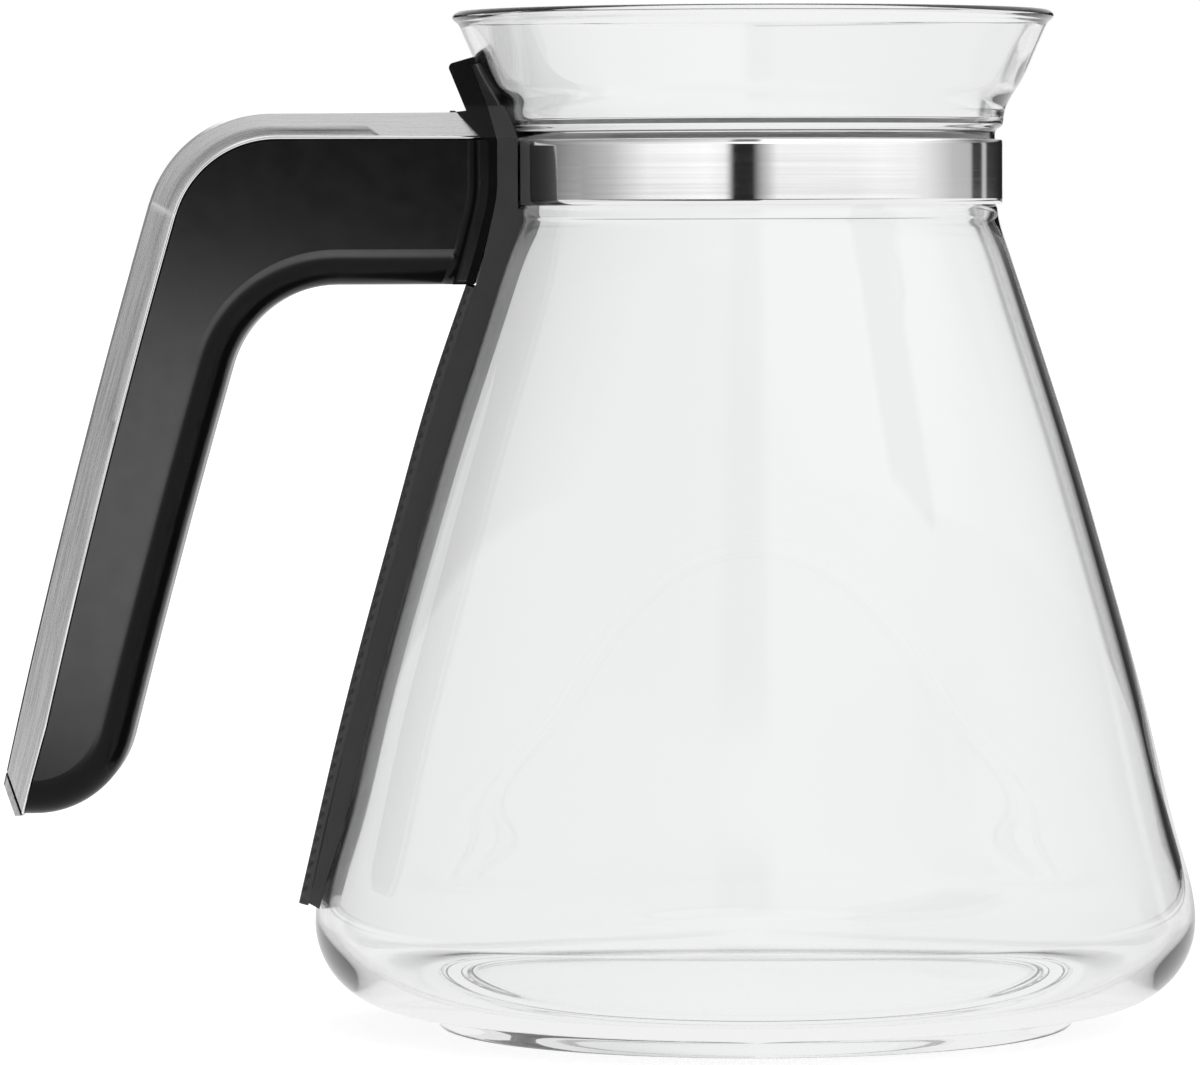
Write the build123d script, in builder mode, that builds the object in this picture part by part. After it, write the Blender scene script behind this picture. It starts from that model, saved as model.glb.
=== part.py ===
from build123d import *
import os
from math import cos, radians, sin

os.makedirs("parts", exist_ok=True)

# A glass coffee carafe with an open side handle. Millimetres, +Z up. The origin is on the vessel's
# axis, on the plane it stands on. The handle points to -X and the pouring side to +X.

# ---- glass vessel -------------------------------------------------------------------------------
WIDEST_R = 75.2         # outer radius where the body is widest
WIDEST_Z = 18.0
SEAT_R = 41.2           # outer radius of the neck under the band
WALL = 2.1              # glass wall, measured level
FOOT_OUT_R = 54.5       # foot ring: outside
FOOT_IN_R = 50.2        # foot ring: inside
FLOOR_LOW = 2.6         # underside of the glass floor
FLOOR_HIGH = 5.2        # inside of the glass floor
FLOOR_EDGE_R = 56.0     # the flat of the floor's inside ends here
FOOT_IN_SLOPE = 1.8     # the floor's underside turns down this far inside the foot ring
FOOT_FLAT = (51.1, 53.5)        # radii between which the foot ring is flat
FOOT_ROUND = (54.35, 1.1)       # a point on the foot ring's rounded outside
FOOT_TOP_Z = 3.2        # top of the foot ring, where the shoulder starts
SHOULDER = ((65.8, 4.6), (72.6, 9.9))   # outlines are (radius, height)
CONE = ((72.3, 31.7), (67.3, 52.0), (60.8, 76.2), (53.9, 100.0), (46.2, 124.0), (43.2, 133.0))
CONE_TOP = (41.6, 139.4)
NECK_TOP_Z = 152.4
RIDGE = (42.5, 153.4)
FLARE = ((42.9, 156.0), (45.4, 160.6), (47.7, 165.4))
FLARE_TOP = (50.0, 170.6)
LIP_OUT = (51.2, 172.0)         # the fire-polished lip: outermost point, top and inside
LIP_TOP = (50.1, 173.0)
LIP_IN = (48.9, 172.6)
LIP_END = (48.3, 171.4)
RIDGE_IN = (40.0, 153.4)
INNER_NECK_Z = (141.0, 151.0)
INNER_WIDEST_Z = 18.4
INNER_SHOULDER = ((70.4, 11.4), (65.0, 7.1))

# ---- neck band ----------------------------------------------------------------------------------
BAND_LOW = 140.0
BAND_HIGH = 151.0
BAND_OUT_R = 42.5
BAND_IN_R = 41.9
LINER_OUT_R = 41.88
LINER_IN_R = 41.25
EAR_IN = 2.4            # the two ears stand this far each side of the middle plane
EAR_OUT = 3.0
EAR_LOW = 141.5
EAR_HIGH = 149.5
EAR_X = -54.0           # tip of the ears
EAR_ROOT_X = -41.4
BAND_SLIT = 6.0         # size of the block that opens the band between the ears
SCREW_Z = 145.5         # height of the clamp screw's axis
PIN_X = -47.0
PIN_R = 1.25
PIN_SPARE = 0.4         # the pin stands out this far beyond each ear
YOKE_X = (-55.5, -44.0)
CLAMP_R = 2.0
CLAMP_FREE = 0.15       # play round the clamp screw
CLAMP_TIP_X = -49.2
CLAMP_HEAD_R = 3.4
CLAMP_HEAD_H = 3.0
WASHER_R = 4.2
WASHER_T = 1.0
CLAMP_ROOM = 1.0        # width and height that the spine's window leaves free round the ears
SOCKET_SIZE = 0.8       # a screw's hex socket, as shares of the shank's radius and of the head's height
SOCKET_DEPTH = 0.6

# ---- spine --------------------------------------------------------------------------------------
SPINE_HALF = 15.2       # half width of the spine
SPINE_FOOT_R = 5.0
TAB_HALF = 9.6          # half width of the tab where it leaves the neck
TAB_TIP_HALF = 7.2
TAB_TOP = 165.2
TAB_TIP_R = 3.0
TONGUE_Z = 151.5        # the spine narrows into the tab above this level
TONGUE_R = 4.0
BACKING_TOP = 156.9
GLASS_GAP = 0.25        # air between spine and glass
ROOT_LOW = 126.7        # underside of the grip where it meets the spine
ROOT_X = -48.8          # outside of the spine at that level
PAD_THICK = 1.7
COVER_THICK = 1.4
SPINE_LOW = 19.8        # lowest level of the spine
SPINE_FOOT = (-77.5, 22.2)      # lower outer corner of the pad
SPINE_HEEL = (-70.0, 18.7)      # a point inside the glass, in line with the spine's cut-off end
SPINE_LINE = ((-69.6, 55.6), (-60.35, 89.8), (-55.65, 106.5), (-52.25, 116.9))
NECK_BEND_Z = 137.0     # the spine bends towards the neck at this level, and stands straight from the next
NECK_LOW_Z = 144.0
NECK_HIGH_Z = 151.0
BACKING_BEND_X = -44.5
BACKING_X = -43.4       # outside of the backing over the straight of the neck
BACKING_TOP_X = -45.1
COVER_BEND_X = -45.9
COVER_X = -44.8         # outside of the cover over the straight of the neck
BEYOND_GLASS_X = -36.0  # inside the glass, which is then cut away
BEYOND_GLASS_Z = 130.0
STRIP_X = (-95.0, -25.0)        # from behind the spine to inside the glass

# ---- grip ---------------------------------------------------------------------------------------
LEAN = 14.6             # the handle's leg leans about this many degrees off the vertical
LEG_BOW_Z = 104.0       # the leg's two long lines are curves, given by place, slope and bow at this level
BACK_LINE = (-112.6, 0.2656, 0.00037)
INNER_LINE = (-91.42, 0.285, 0.0003)
TRIM_TOP = 156.1
TRIM_DEEP_TOP = 4.95    # depth of the trim along the top
TRIM_DEEP_BACK = 5.2    # depth of the trim along the back
TRIM_DEEP_FOOT = 4.35   # depth of the trim at its foot
TRIM_START_X = (-50.6, -45.95)  # upper end of the trim: at its top line and at its lower line
TRIM_TAPER_Z = 52.0     # below this level the back of the grip runs out towards the foot
TRIM_CORNER_R = 21.5
TRIM_HALF = 11.1
TRIM_SHEET = 0.8
GRIP_HALF = 11.5
GRIP_FOOT_Z = 36.9      # lowest level of the grip
GRIP_WALL = 2.4
GRIP_SIDE_WALL = 3.4
CAVITY_HALF = GRIP_HALF - GRIP_SIDE_WALL
FINGER_CORNER_R = 19.0  # inside corner under the arm
TIP_R = 17.0            # rounding of the grip's free end
TRIM_END_Z = 42.4       # where the trim's back line is cut off
TRIM_END_SLANT = 71.0   # how many degrees that cut falls below the level

GRIP_TOP = TRIM_TOP - TRIM_DEEP_TOP
ARM_SCREW_X = -76.0     # the trim carrier's screws: one in the arm, one in the leg
ARM_SCREW_LENGTH = 17.0
LEG_SCREW_Z = 92.0
LEG_SCREW_LENGTH = 13.0
CARRIER_SINK = 1.0      # the screw heads start this far under the metal's outside

FIT = 0.05              # air left between pieces that touch
NEAR = 0.01             # how closely an edge must lie on a plane to be picked
BEND_REACH = 2.0        # how far beyond a corner an edge may lie to be picked with it
FLANGE_X = -52.0        # the root flange's edges lie on the glass side of this


def bowed(line, z):
    """A long line of the leg at height z."""
    rise = z - LEG_BOW_Z
    return line[0] + line[1] * rise + line[2] * rise * rise


def back_x(z, depth):
    """The leg's back line at height z, moved inwards by depth."""
    return bowed(BACK_LINE, z) + depth / cos(radians(LEAN))


def inner_x(z, depth=0):
    """The finger side of the leg at height z, moved into the leg by depth."""
    return bowed(INNER_LINE, z) - depth / cos(radians(LEAN))


def leg_arc(x_at, depth, start, end):
    """Draws a long line of the leg between two heights, in the order given."""
    middle = (start + end) / 2
    ThreePointArc((x_at(start, depth), start), (x_at(middle, depth), middle), (x_at(end, depth), end))


def faces_fingers(edge):
    """True for an edge on the underside of the arm or the finger side of the leg."""
    middle = edge.center()
    return middle.Z < ROOT_LOW + BEND_REACH and middle.X > inner_x(middle.Z, FINGER_CORNER_R / 2)


def in_flange_corner(edge):
    """True for the inside corners where the grip's sides meet its root flange."""
    middle = edge @ 0.5
    under_top = middle.Z < GRIP_TOP - BEND_REACH / 2
    return abs(abs(middle.Y) - GRIP_HALF) < NEAR and FLANGE_X < middle.X < COVER_X - BEND_REACH and under_top


def on_flange_rim(edge):
    """True for the outer edges of the root flange's two ends, on the side of the hand."""
    middle = edge @ 0.5
    under_top = middle.Z < GRIP_TOP - BEND_REACH / 2
    return abs(abs(middle.Y) - FLANGE_HALF) < NEAR and middle.X < COVER_X - BEND_REACH and under_top


def on_trim_back(edge):
    """True for an edge on the trim's outside line: its top, its corner or its back."""
    middle = edge @ 0.5
    reach = TRIM_CORNER_R * TRIM_CORNER_SHARE
    near_corner = middle.X < back_x(TRIM_TOP, 0) + reach and middle.Z > TRIM_TOP - reach
    return middle.Z > TRIM_TOP - NEAR or middle.X < back_x(middle.Z, CAP_GAP) or near_corner


def carrier_screw_places():
    """Where the trim carrier's screws start and the length of each shank, in the arm and in the leg."""
    leg_top = Vector(back_x(LEG_SCREW_Z, CARRIER_SINK), 0, LEG_SCREW_Z)
    across = Vector(cos(radians(LEAN)), 0, -sin(radians(LEAN)))
    return (
        (Plane(origin=(ARM_SCREW_X, 0, TRIM_TOP - CARRIER_SINK), z_dir=(0, 0, -1)), ARM_SCREW_LENGTH),
        (Plane(origin=leg_top, z_dir=across), LEG_SCREW_LENGTH),
    )


def round_corner(view, x, z, radius):
    """Rounds the corner of a side view that lies nearest to x, z."""
    fillet(view.vertices().sort_by_distance((x, z, 0))[0], radius)


def screw(plane, head_r, head_h, shank_r, length):
    """A hex socket screw: the head stands on the plane, and the shank runs on from it."""
    with BuildPart() as body:
        with BuildSketch(plane):
            Circle(head_r)
        extrude(amount=head_h)
        with BuildSketch(plane.offset(head_h)):
            Circle(shank_r)
        extrude(amount=length)
        with BuildSketch(plane):
            RegularPolygon(SOCKET_SIZE * shank_r, 6)
        extrude(amount=SOCKET_DEPTH * head_h, mode=Mode.SUBTRACT)
    return body.part


def bore(plane, radius, length):
    """A plain round bar from the plane, for cutting a hole."""
    with BuildPart() as bar:
        with BuildSketch(plane):
            Circle(radius)
        extrude(amount=length)
    return bar.part


def shoulder_and_cone(gap):
    """The glass's outside from the foot ring to the neck, moved out by gap."""
    Spline(
        (FOOT_OUT_R + gap, FOOT_TOP_Z),
        *[(radius + gap, height) for radius, height in SHOULDER],
        (WIDEST_R + gap, WIDEST_Z),
        tangents=((1, 0.02), (0, 1)),
    )
    Spline(
        (WIDEST_R + gap, WIDEST_Z),
        *[(radius + gap, height) for radius, height in CONE],
        (CONE_TOP[0] + gap, CONE_TOP[1]),
        tangents=((0, 1), (-0.05, 1)),
    )


def flare(gap):
    """The glass's outside from the ridge over the band to the rim, moved out by gap."""
    Spline(
        (RIDGE[0] + gap, RIDGE[1]),
        *[(radius + gap, height) for radius, height in FLARE],
        (FLARE_TOP[0] + gap, FLARE_TOP[1]),
        tangents=((0.1, 1), (0.45, 1)),
    )


def inside(outline):
    """The same outline on the inside of the glass wall, from its top down."""
    return [(radius - WALL, height) for radius, height in reversed(outline)]


# ---- the glass vessel ---------------------------------------------------------------------------
with BuildPart() as glass_vessel:
    with BuildSketch(Plane.XZ):
        with BuildLine():
            Line((0, FLOOR_LOW), (FOOT_IN_R - FOOT_IN_SLOPE, FLOOR_LOW))
            Spline(
                (FOOT_IN_R - FOOT_IN_SLOPE, FLOOR_LOW),
                (FOOT_FLAT[0], 0),
                tangents=((1, 0), (0.6, -0.5)),
            )
            Line((FOOT_FLAT[0], 0), (FOOT_FLAT[1], 0))
            ThreePointArc((FOOT_FLAT[1], 0), FOOT_ROUND, (FOOT_OUT_R, FOOT_TOP_Z))
            shoulder_and_cone(0)
            Polyline(CONE_TOP, (SEAT_R, BAND_LOW), (SEAT_R, NECK_TOP_Z), RIDGE)
            flare(0)
            ThreePointArc(FLARE_TOP, LIP_OUT, LIP_TOP)
            ThreePointArc(LIP_TOP, LIP_IN, LIP_END)
            Spline(
                LIP_END,
                *inside(FLARE),
                RIDGE_IN,
                (SEAT_R - WALL, INNER_NECK_Z[1]),
                tangents=((-0.45, -1), (0, -1)),
            )
            Line((SEAT_R - WALL, INNER_NECK_Z[1]), (SEAT_R - WALL, INNER_NECK_Z[0]))
            Spline(
                (SEAT_R - WALL, INNER_NECK_Z[0]),
                *inside(CONE),
                (WIDEST_R - WALL, INNER_WIDEST_Z),
                tangents=((0, -1), (0, -1)),
            )
            Spline(
                (WIDEST_R - WALL, INNER_WIDEST_Z),
                *INNER_SHOULDER,
                (FLOOR_EDGE_R, FLOOR_HIGH),
                tangents=((0, -1), (-1, 0)),
            )
            Polyline((FLOOR_EDGE_R, FLOOR_HIGH), (0, FLOOR_HIGH), (0, FLOOR_LOW))
        make_face()
    revolve(axis=Axis.Z)
glass_vessel.part.label = "glass_vessel"
export_step(glass_vessel.part, "parts/glass_vessel.step")


def around_glass(gap, band_gap):
    """A solid of the glass, the ridge and the band, swollen by gap, for cutting what hugs them."""
    with BuildPart() as body:
        with BuildSketch(Plane.XZ):
            with BuildLine():
                Line((0, FOOT_TOP_Z), (FOOT_OUT_R + gap, FOOT_TOP_Z))
                shoulder_and_cone(gap)
                Polyline(
                    (CONE_TOP[0] + gap, CONE_TOP[1]),
                    (BAND_OUT_R + band_gap, CONE_TOP[1]),
                    (BAND_OUT_R + band_gap, BAND_HIGH + band_gap),
                    (RIDGE[0] + gap, RIDGE[1]),
                )
                flare(gap)
                Line((FLARE_TOP[0] + gap, FLARE_TOP[1]), (0, FLARE_TOP[1]))
                Line((0, FLARE_TOP[1]), (0, FOOT_TOP_Z))
            make_face()
        revolve(axis=Axis.Z)
    return body.part


# ---- the neck band and its clamp ----------------------------------------------------------------
with BuildPart() as neck_band:
    with BuildSketch(Plane.XY.offset(BAND_LOW)):
        Circle(BAND_OUT_R)
        Circle(BAND_IN_R, mode=Mode.SUBTRACT)
        with Locations((-BAND_IN_R, 0)):
            Rectangle(BAND_SLIT, 2 * EAR_IN, mode=Mode.SUBTRACT)
    extrude(amount=BAND_HIGH - BAND_LOW)
    with BuildSketch(Plane.XY.offset(EAR_LOW)):
        for side in (1, -1):
            with Locations(((EAR_X + EAR_ROOT_X) / 2, side * (EAR_IN + EAR_OUT) / 2)):
                Rectangle(EAR_ROOT_X - EAR_X, EAR_OUT - EAR_IN)
    extrude(amount=EAR_HIGH - EAR_LOW)
    with BuildSketch(Plane.XY.offset(EAR_LOW)):
        Circle(BAND_IN_R)
    extrude(amount=EAR_HIGH - EAR_LOW, mode=Mode.SUBTRACT)
    with BuildSketch(Plane.XZ.offset(-EAR_OUT)):
        with Locations((PIN_X, SCREW_Z)):
            Circle(PIN_R + FIT)
    extrude(amount=2 * EAR_OUT, mode=Mode.SUBTRACT)
neck_band.part.label = "neck_band"
export_step(neck_band.part, "parts/neck_band.step")

with BuildPart() as band_liner:
    with BuildSketch(Plane.XY.offset(BAND_LOW)):
        Circle(LINER_OUT_R)
        Circle(LINER_IN_R, mode=Mode.SUBTRACT)
        with Locations((-LINER_IN_R, 0)):
            Rectangle(BAND_SLIT, 2 * EAR_OUT, mode=Mode.SUBTRACT)
    extrude(amount=BAND_HIGH - BAND_LOW)
band_liner.part.label = "band_liner"
export_step(band_liner.part, "parts/band_liner.step")

with BuildPart() as band_yoke:
    with BuildSketch(Plane.XY.offset(EAR_LOW)):
        with Locations(((YOKE_X[0] + YOKE_X[1]) / 2, 0)):
            Rectangle(YOKE_X[1] - YOKE_X[0], 2 * (EAR_IN - FIT))
    extrude(amount=EAR_HIGH - EAR_LOW)
    with BuildSketch(Plane.XZ.offset(-EAR_OUT)):
        with Locations((PIN_X, SCREW_Z)):
            Circle(PIN_R + FIT)
    extrude(amount=2 * EAR_OUT, mode=Mode.SUBTRACT)
    with BuildSketch(Plane.YZ.offset(YOKE_X[0])):
        with Locations((0, SCREW_Z)):
            Circle(CLAMP_R + FIT)
    extrude(amount=CLAMP_TIP_X + FIT - YOKE_X[0], mode=Mode.SUBTRACT)
band_yoke.part.label = "band_yoke"
export_step(band_yoke.part, "parts/band_yoke.step")

with BuildPart() as yoke_pin:
    with BuildSketch(Plane.XZ.offset(-EAR_OUT - PIN_SPARE)):
        with Locations((PIN_X, SCREW_Z)):
            Circle(PIN_R)
    extrude(amount=2 * (EAR_OUT + PIN_SPARE))
    chamfer(yoke_pin.edges().filter_by(GeomType.CIRCLE), PIN_SPARE / 2)
yoke_pin.part.label = "yoke_pin"
export_step(yoke_pin.part, "parts/yoke_pin.step")

CORE_PLATE_X = (-62.0, -57.6)   # root plate of the grip core
CLAMP_HEAD_X = CORE_PLATE_X[0] - WASHER_T - 2 * FIT

with BuildPart() as clamp_washer:
    with BuildSketch(Plane.YZ.offset(CORE_PLATE_X[0] - FIT - WASHER_T)):
        with Locations((0, SCREW_Z)):
            Circle(WASHER_R)
            Circle(CLAMP_R + CLAMP_FREE, mode=Mode.SUBTRACT)
    extrude(amount=WASHER_T)
clamp_washer.part.label = "clamp_washer"
export_step(clamp_washer.part, "parts/clamp_washer.step")

with BuildPart() as clamp_screw:
    add(
        screw(
            Plane(origin=(CLAMP_HEAD_X - CLAMP_HEAD_H, 0, SCREW_Z), z_dir=(1, 0, 0)),
            CLAMP_HEAD_R,
            CLAMP_HEAD_H,
            CLAMP_R,
            CLAMP_TIP_X - CLAMP_HEAD_X,
        )
    )
clamp_screw.part.label = "clamp_screw"
export_step(clamp_screw.part, "parts/clamp_screw.step")


# ---- the spine ----------------------------------------------------------------------------------
def spine_line(shift):
    """The spine's outside seen from the side, from its foot to the grip's root, moved in by shift."""
    Spline(
        (SPINE_FOOT[0] + shift, SPINE_FOOT[1]),
        *[(x + shift, z) for x, z in SPINE_LINE],
        (ROOT_X + shift, ROOT_LOW),
    )


def spine_front():
    """The spine seen from behind the handle: a long strip, rounded at its foot, with a tongue on top."""
    with BuildPart() as body:
        with BuildSketch(Plane.YZ.offset(STRIP_X[0])) as view:
            with BuildLine():
                Polyline(
                    (0, SPINE_LOW),
                    (SPINE_HALF, SPINE_LOW),
                    (SPINE_HALF, TONGUE_Z),
                    (TAB_HALF, BACKING_TOP),
                    (TAB_TIP_HALF, TAB_TOP),
                    (0, TAB_TOP),
                )
                mirror(about=Plane.YZ)
            make_face()
            levels = view.vertices().group_by(Axis.Y)
            fillet(levels[0], SPINE_FOOT_R)
            fillet(levels[-1], TAB_TIP_R)
            fillet(levels[1] + levels[2], TONGUE_R)
        extrude(amount=STRIP_X[1] - STRIP_X[0])
    return body.part


COVER_SCREW_Y = 5.5
COVER_SCREW_Z = 132.6
COVER_SCREW_HEAD_X = -44.2      # the heads lie sunk in the backing, towards the glass
COVER_SCREW_TIP_X = -49.6
COVER_HEAD_R = 1.9
COVER_HEAD_H = 0.8
COVER_SHANK_R = 1.0
COVER_HOLE_X = -40.0    # the screw holes are cut from here, inside the glass


def cover_screw_holes():
    """Bars for the cover screws' heads and shanks, for cutting the backing and the cover."""
    holes = []
    for side in (1, -1):
        start = Plane(origin=(COVER_HOLE_X, side * COVER_SCREW_Y, COVER_SCREW_Z), z_dir=(-1, 0, 0))
        head_depth = start.origin.X - COVER_SCREW_HEAD_X + COVER_HEAD_H
        holes.append(bore(start, COVER_HEAD_R + FIT, head_depth + FIT))
        holes.append(bore(start, COVER_SHANK_R + FIT, start.origin.X - COVER_SCREW_TIP_X + FIT))
    return holes


BUMPER_THICK = 0.7
BUMPER_Y = (6.5, 12.5)
BUMPER_Z = ((26.0, 40.0), (112.0, 124.0))   # the lower pair and the upper pair
BUMPER_X = (-90.0, -30.0)

strip_view = spine_front()
glass_clear = around_glass(GLASS_GAP, GLASS_GAP)
bumper_inside = around_glass(FIT, GLASS_GAP)
bumper_outside = around_glass(GLASS_GAP + BUMPER_THICK, GLASS_GAP)
pocket_outside = around_glass(GLASS_GAP + BUMPER_THICK + FIT, GLASS_GAP)


def bumper_blocks(level, grow):
    """The two blocks, one each side, that a bumper pair or its pockets are cut from."""
    low, high = BUMPER_Z[level]
    with BuildPart() as blocks:
        with BuildSketch(Plane.XY.offset(low - grow)):
            for side in (1, -1):
                with Locations(((BUMPER_X[0] + BUMPER_X[1]) / 2, side * (BUMPER_Y[0] + BUMPER_Y[1]) / 2)):
                    Rectangle(BUMPER_X[1] - BUMPER_X[0], BUMPER_Y[1] - BUMPER_Y[0] + 2 * grow)
        extrude(amount=high - low + 2 * grow)
    return blocks.part


TAB_LIP_LOW = 164.0     # underside of the cover's lip, which closes the tab against the glass
TAB_LIP_X = -47.9
TAB_WEB_HALF = 5.0      # half width of the backing's web, which fills the tab from behind
TAB_WEB_X = -38.0       # the web is drawn to here, inside the glass
WEB_SINK = 0.1          # the web stays this far under the cover's lip
WINDOW_X = (-50.0, -35.0)       # the backing's window for the ears

with BuildPart() as spine_backing:
    with BuildSketch(Plane.XZ.offset(-SPINE_HALF - 1)):
        with BuildLine():
            spine_line(PAD_THICK)
            Spline(
                (ROOT_X + PAD_THICK, ROOT_LOW),
                (BACKING_BEND_X, NECK_BEND_Z),
                (BACKING_X, NECK_LOW_Z),
                tangents=((0.33, 1), (0, 1)),
            )
            Polyline(
                (BACKING_X, NECK_LOW_Z),
                (BACKING_X, NECK_HIGH_Z),
                (BACKING_TOP_X, BACKING_TOP),
                (BEYOND_GLASS_X, BACKING_TOP),
                (BEYOND_GLASS_X, BEYOND_GLASS_Z),
                SPINE_HEEL,
                (SPINE_FOOT[0] + PAD_THICK, SPINE_FOOT[1]),
            )
        make_face()
    extrude(amount=2 * SPINE_HALF + 2)
    add(strip_view, mode=Mode.INTERSECT)
    with BuildSketch(Plane.XZ.offset(-TAB_WEB_HALF)):
        Polygon(
            (TAB_LIP_X + WEB_SINK, TAB_LIP_LOW - WEB_SINK),
            (BACKING_TOP_X, BACKING_TOP - WEB_SINK),
            (TAB_WEB_X, BACKING_TOP - WEB_SINK),
            (TAB_WEB_X, TAB_LIP_LOW - WEB_SINK),
            align=None,
        )
    extrude(amount=2 * TAB_WEB_HALF)
    add(glass_clear, mode=Mode.SUBTRACT)
    for level in (0, 1):
        add(pocket_outside & bumper_blocks(level, FIT), mode=Mode.SUBTRACT)
    with BuildSketch(Plane.YZ.offset(WINDOW_X[0])):
        with Locations((0, SCREW_Z)):
            Rectangle(2 * EAR_OUT + CLAMP_ROOM, EAR_HIGH - EAR_LOW + CLAMP_ROOM)
    extrude(amount=WINDOW_X[1] - WINDOW_X[0], mode=Mode.SUBTRACT)
    for hole in cover_screw_holes():
        add(hole, mode=Mode.SUBTRACT)
spine_backing.part.label = "spine_backing"
export_step(spine_backing.part, "parts/spine_backing.step")

for level, name in enumerate(("lower_bumpers", "upper_bumpers")):
    with BuildPart() as bumpers:
        add(bumper_outside & bumper_blocks(level, 0))
        add(bumper_inside, mode=Mode.SUBTRACT)
    bumpers.part.label = name
    export_step(bumpers.part, f"parts/{name}.step")

PAD_EDGE_R = 1.2
LONG_EDGE = 60.0        # only the pad's long edges are longer than this

with BuildPart() as knuckle_pad:
    with BuildSketch(Plane.XZ.offset(-SPINE_HALF - 1)):
        with BuildLine():
            spine_line(0)
            Line((ROOT_X, ROOT_LOW), (ROOT_X + PAD_THICK - FIT, ROOT_LOW))
            spine_line(PAD_THICK - FIT)
            Line((SPINE_FOOT[0] + PAD_THICK - FIT, SPINE_FOOT[1]), SPINE_FOOT)
        make_face()
    extrude(amount=2 * SPINE_HALF + 2)
    add(strip_view, mode=Mode.INTERSECT)
    long_edges = knuckle_pad.edges().filter_by(lambda e: e.length > LONG_EDGE)
    fillet(long_edges.sort_by(Axis.X)[:2], PAD_EDGE_R)
knuckle_pad.part.label = "knuckle_pad"
export_step(knuckle_pad.part, "parts/knuckle_pad.step")

ROOT_BLOCK_X = -57.5    # the cover's boss ends here, against the grip core
ROOT_BLOCK_HALF = 7.9
ROOT_BLOCK_Z = (130.2, 149.9)
BLOCK_X = ((-44.2, 143.5), (-45.4, 137.0), (-47.6, 130.2))      # the boss runs into the cover here
SMALL_R = 1.5           # shank of the small screws
CORE_SCREW_Y = 5.6
CORE_SCREW_Z = 134.5
CORE_SCREW_TIP_X = -51.5
COVER_TOP_X = -45.85    # the cover leaves the grip's top line here and runs up under the trim's end
TRIM_TUCK = 0.2         # the cover stays this far inside the trim's end
TAB_FOOT_X = -48.7      # the tab leaves the trim's top line here
TAB_BACK = ((-51.5, 162.9), (-51.55, 163.75), (-50.9, 164.25))      # its rounded outer corner
TAB_TOP_X = (-47.6, -40.0)


def cover_line(shift):
    """The cover's outside from the pad to the straight of the neck, moved in by shift."""
    Spline(
        (ROOT_X + shift, ROOT_LOW + FIT),
        (COVER_BEND_X + shift, NECK_BEND_Z),
        (COVER_X + shift, NECK_LOW_Z),
        tangents=((0.33, 1), (0, 1)),
    )


with BuildPart() as spine_cover:
    with BuildSketch(Plane.XZ.offset(-SPINE_HALF - 1)):
        with BuildLine():
            cover_line(0)
            Polyline(
                (COVER_X, NECK_LOW_Z),
                (COVER_X, GRIP_TOP),
                (COVER_TOP_X, GRIP_TOP),
                (TRIM_START_X[0] + TRIM_TUCK, TRIM_TOP - TRIM_TUCK),
                (TAB_FOOT_X, TRIM_TOP),
                TAB_BACK[0],
            )
            ThreePointArc(*TAB_BACK)
            Polyline(
                TAB_BACK[2],
                (TAB_TOP_X[0], TAB_TOP),
                (TAB_TOP_X[1], TAB_TOP),
                (TAB_TOP_X[1], TAB_LIP_LOW),
                (TAB_LIP_X, TAB_LIP_LOW),
                (BACKING_TOP_X - FIT, BACKING_TOP - FIT),
                (BACKING_X - FIT, NECK_HIGH_Z),
                (BACKING_X - FIT, NECK_LOW_Z),
            )
            cover_line(COVER_THICK - FIT)
            Line((ROOT_X, ROOT_LOW + FIT), (ROOT_X + COVER_THICK - FIT, ROOT_LOW + FIT))
        make_face()
    extrude(amount=2 * SPINE_HALF + 2)
    add(strip_view, mode=Mode.INTERSECT)
    add(glass_clear, mode=Mode.SUBTRACT)
    with BuildSketch(Plane.XZ.offset(-ROOT_BLOCK_HALF)):
        with BuildLine():
            Polyline(
                (ROOT_BLOCK_X, ROOT_BLOCK_Z[0]),
                (ROOT_BLOCK_X, ROOT_BLOCK_Z[1]),
                (BLOCK_X[0][0], ROOT_BLOCK_Z[1]),
                *BLOCK_X,
                close=True,
            )
        make_face()
    extrude(amount=2 * ROOT_BLOCK_HALF)
    with BuildSketch(Plane.YZ.offset(ROOT_BLOCK_X)):
        with Locations((0, SCREW_Z)):
            Rectangle(2 * EAR_OUT + CLAMP_ROOM, EAR_HIGH - EAR_LOW + CLAMP_ROOM)
    extrude(amount=TAB_WEB_X - ROOT_BLOCK_X, mode=Mode.SUBTRACT)
    with BuildSketch(Plane.YZ.offset(ROOT_BLOCK_X)):
        with Locations((CORE_SCREW_Y, CORE_SCREW_Z), (-CORE_SCREW_Y, CORE_SCREW_Z)):
            Circle(SMALL_R + FIT)
    extrude(amount=CORE_SCREW_TIP_X + 2 * FIT - ROOT_BLOCK_X, mode=Mode.SUBTRACT)
    for hole in cover_screw_holes():
        add(hole, mode=Mode.SUBTRACT)
spine_cover.part.label = "spine_cover"
export_step(spine_cover.part, "parts/spine_cover.step")

cover_screw_solids = [
    screw(
        Plane(origin=(COVER_SCREW_HEAD_X, side * COVER_SCREW_Y, COVER_SCREW_Z), z_dir=(-1, 0, 0)),
        COVER_HEAD_R,
        COVER_HEAD_H,
        COVER_SHANK_R,
        COVER_SCREW_HEAD_X - COVER_HEAD_H - COVER_SCREW_TIP_X,
    )
    for side in (1, -1)
]
with BuildPart() as cover_screws:
    add(cover_screw_solids)
cover_screws.part.label = "cover_screws"
export_step(cover_screws.part, "parts/cover_screws.step")

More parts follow.
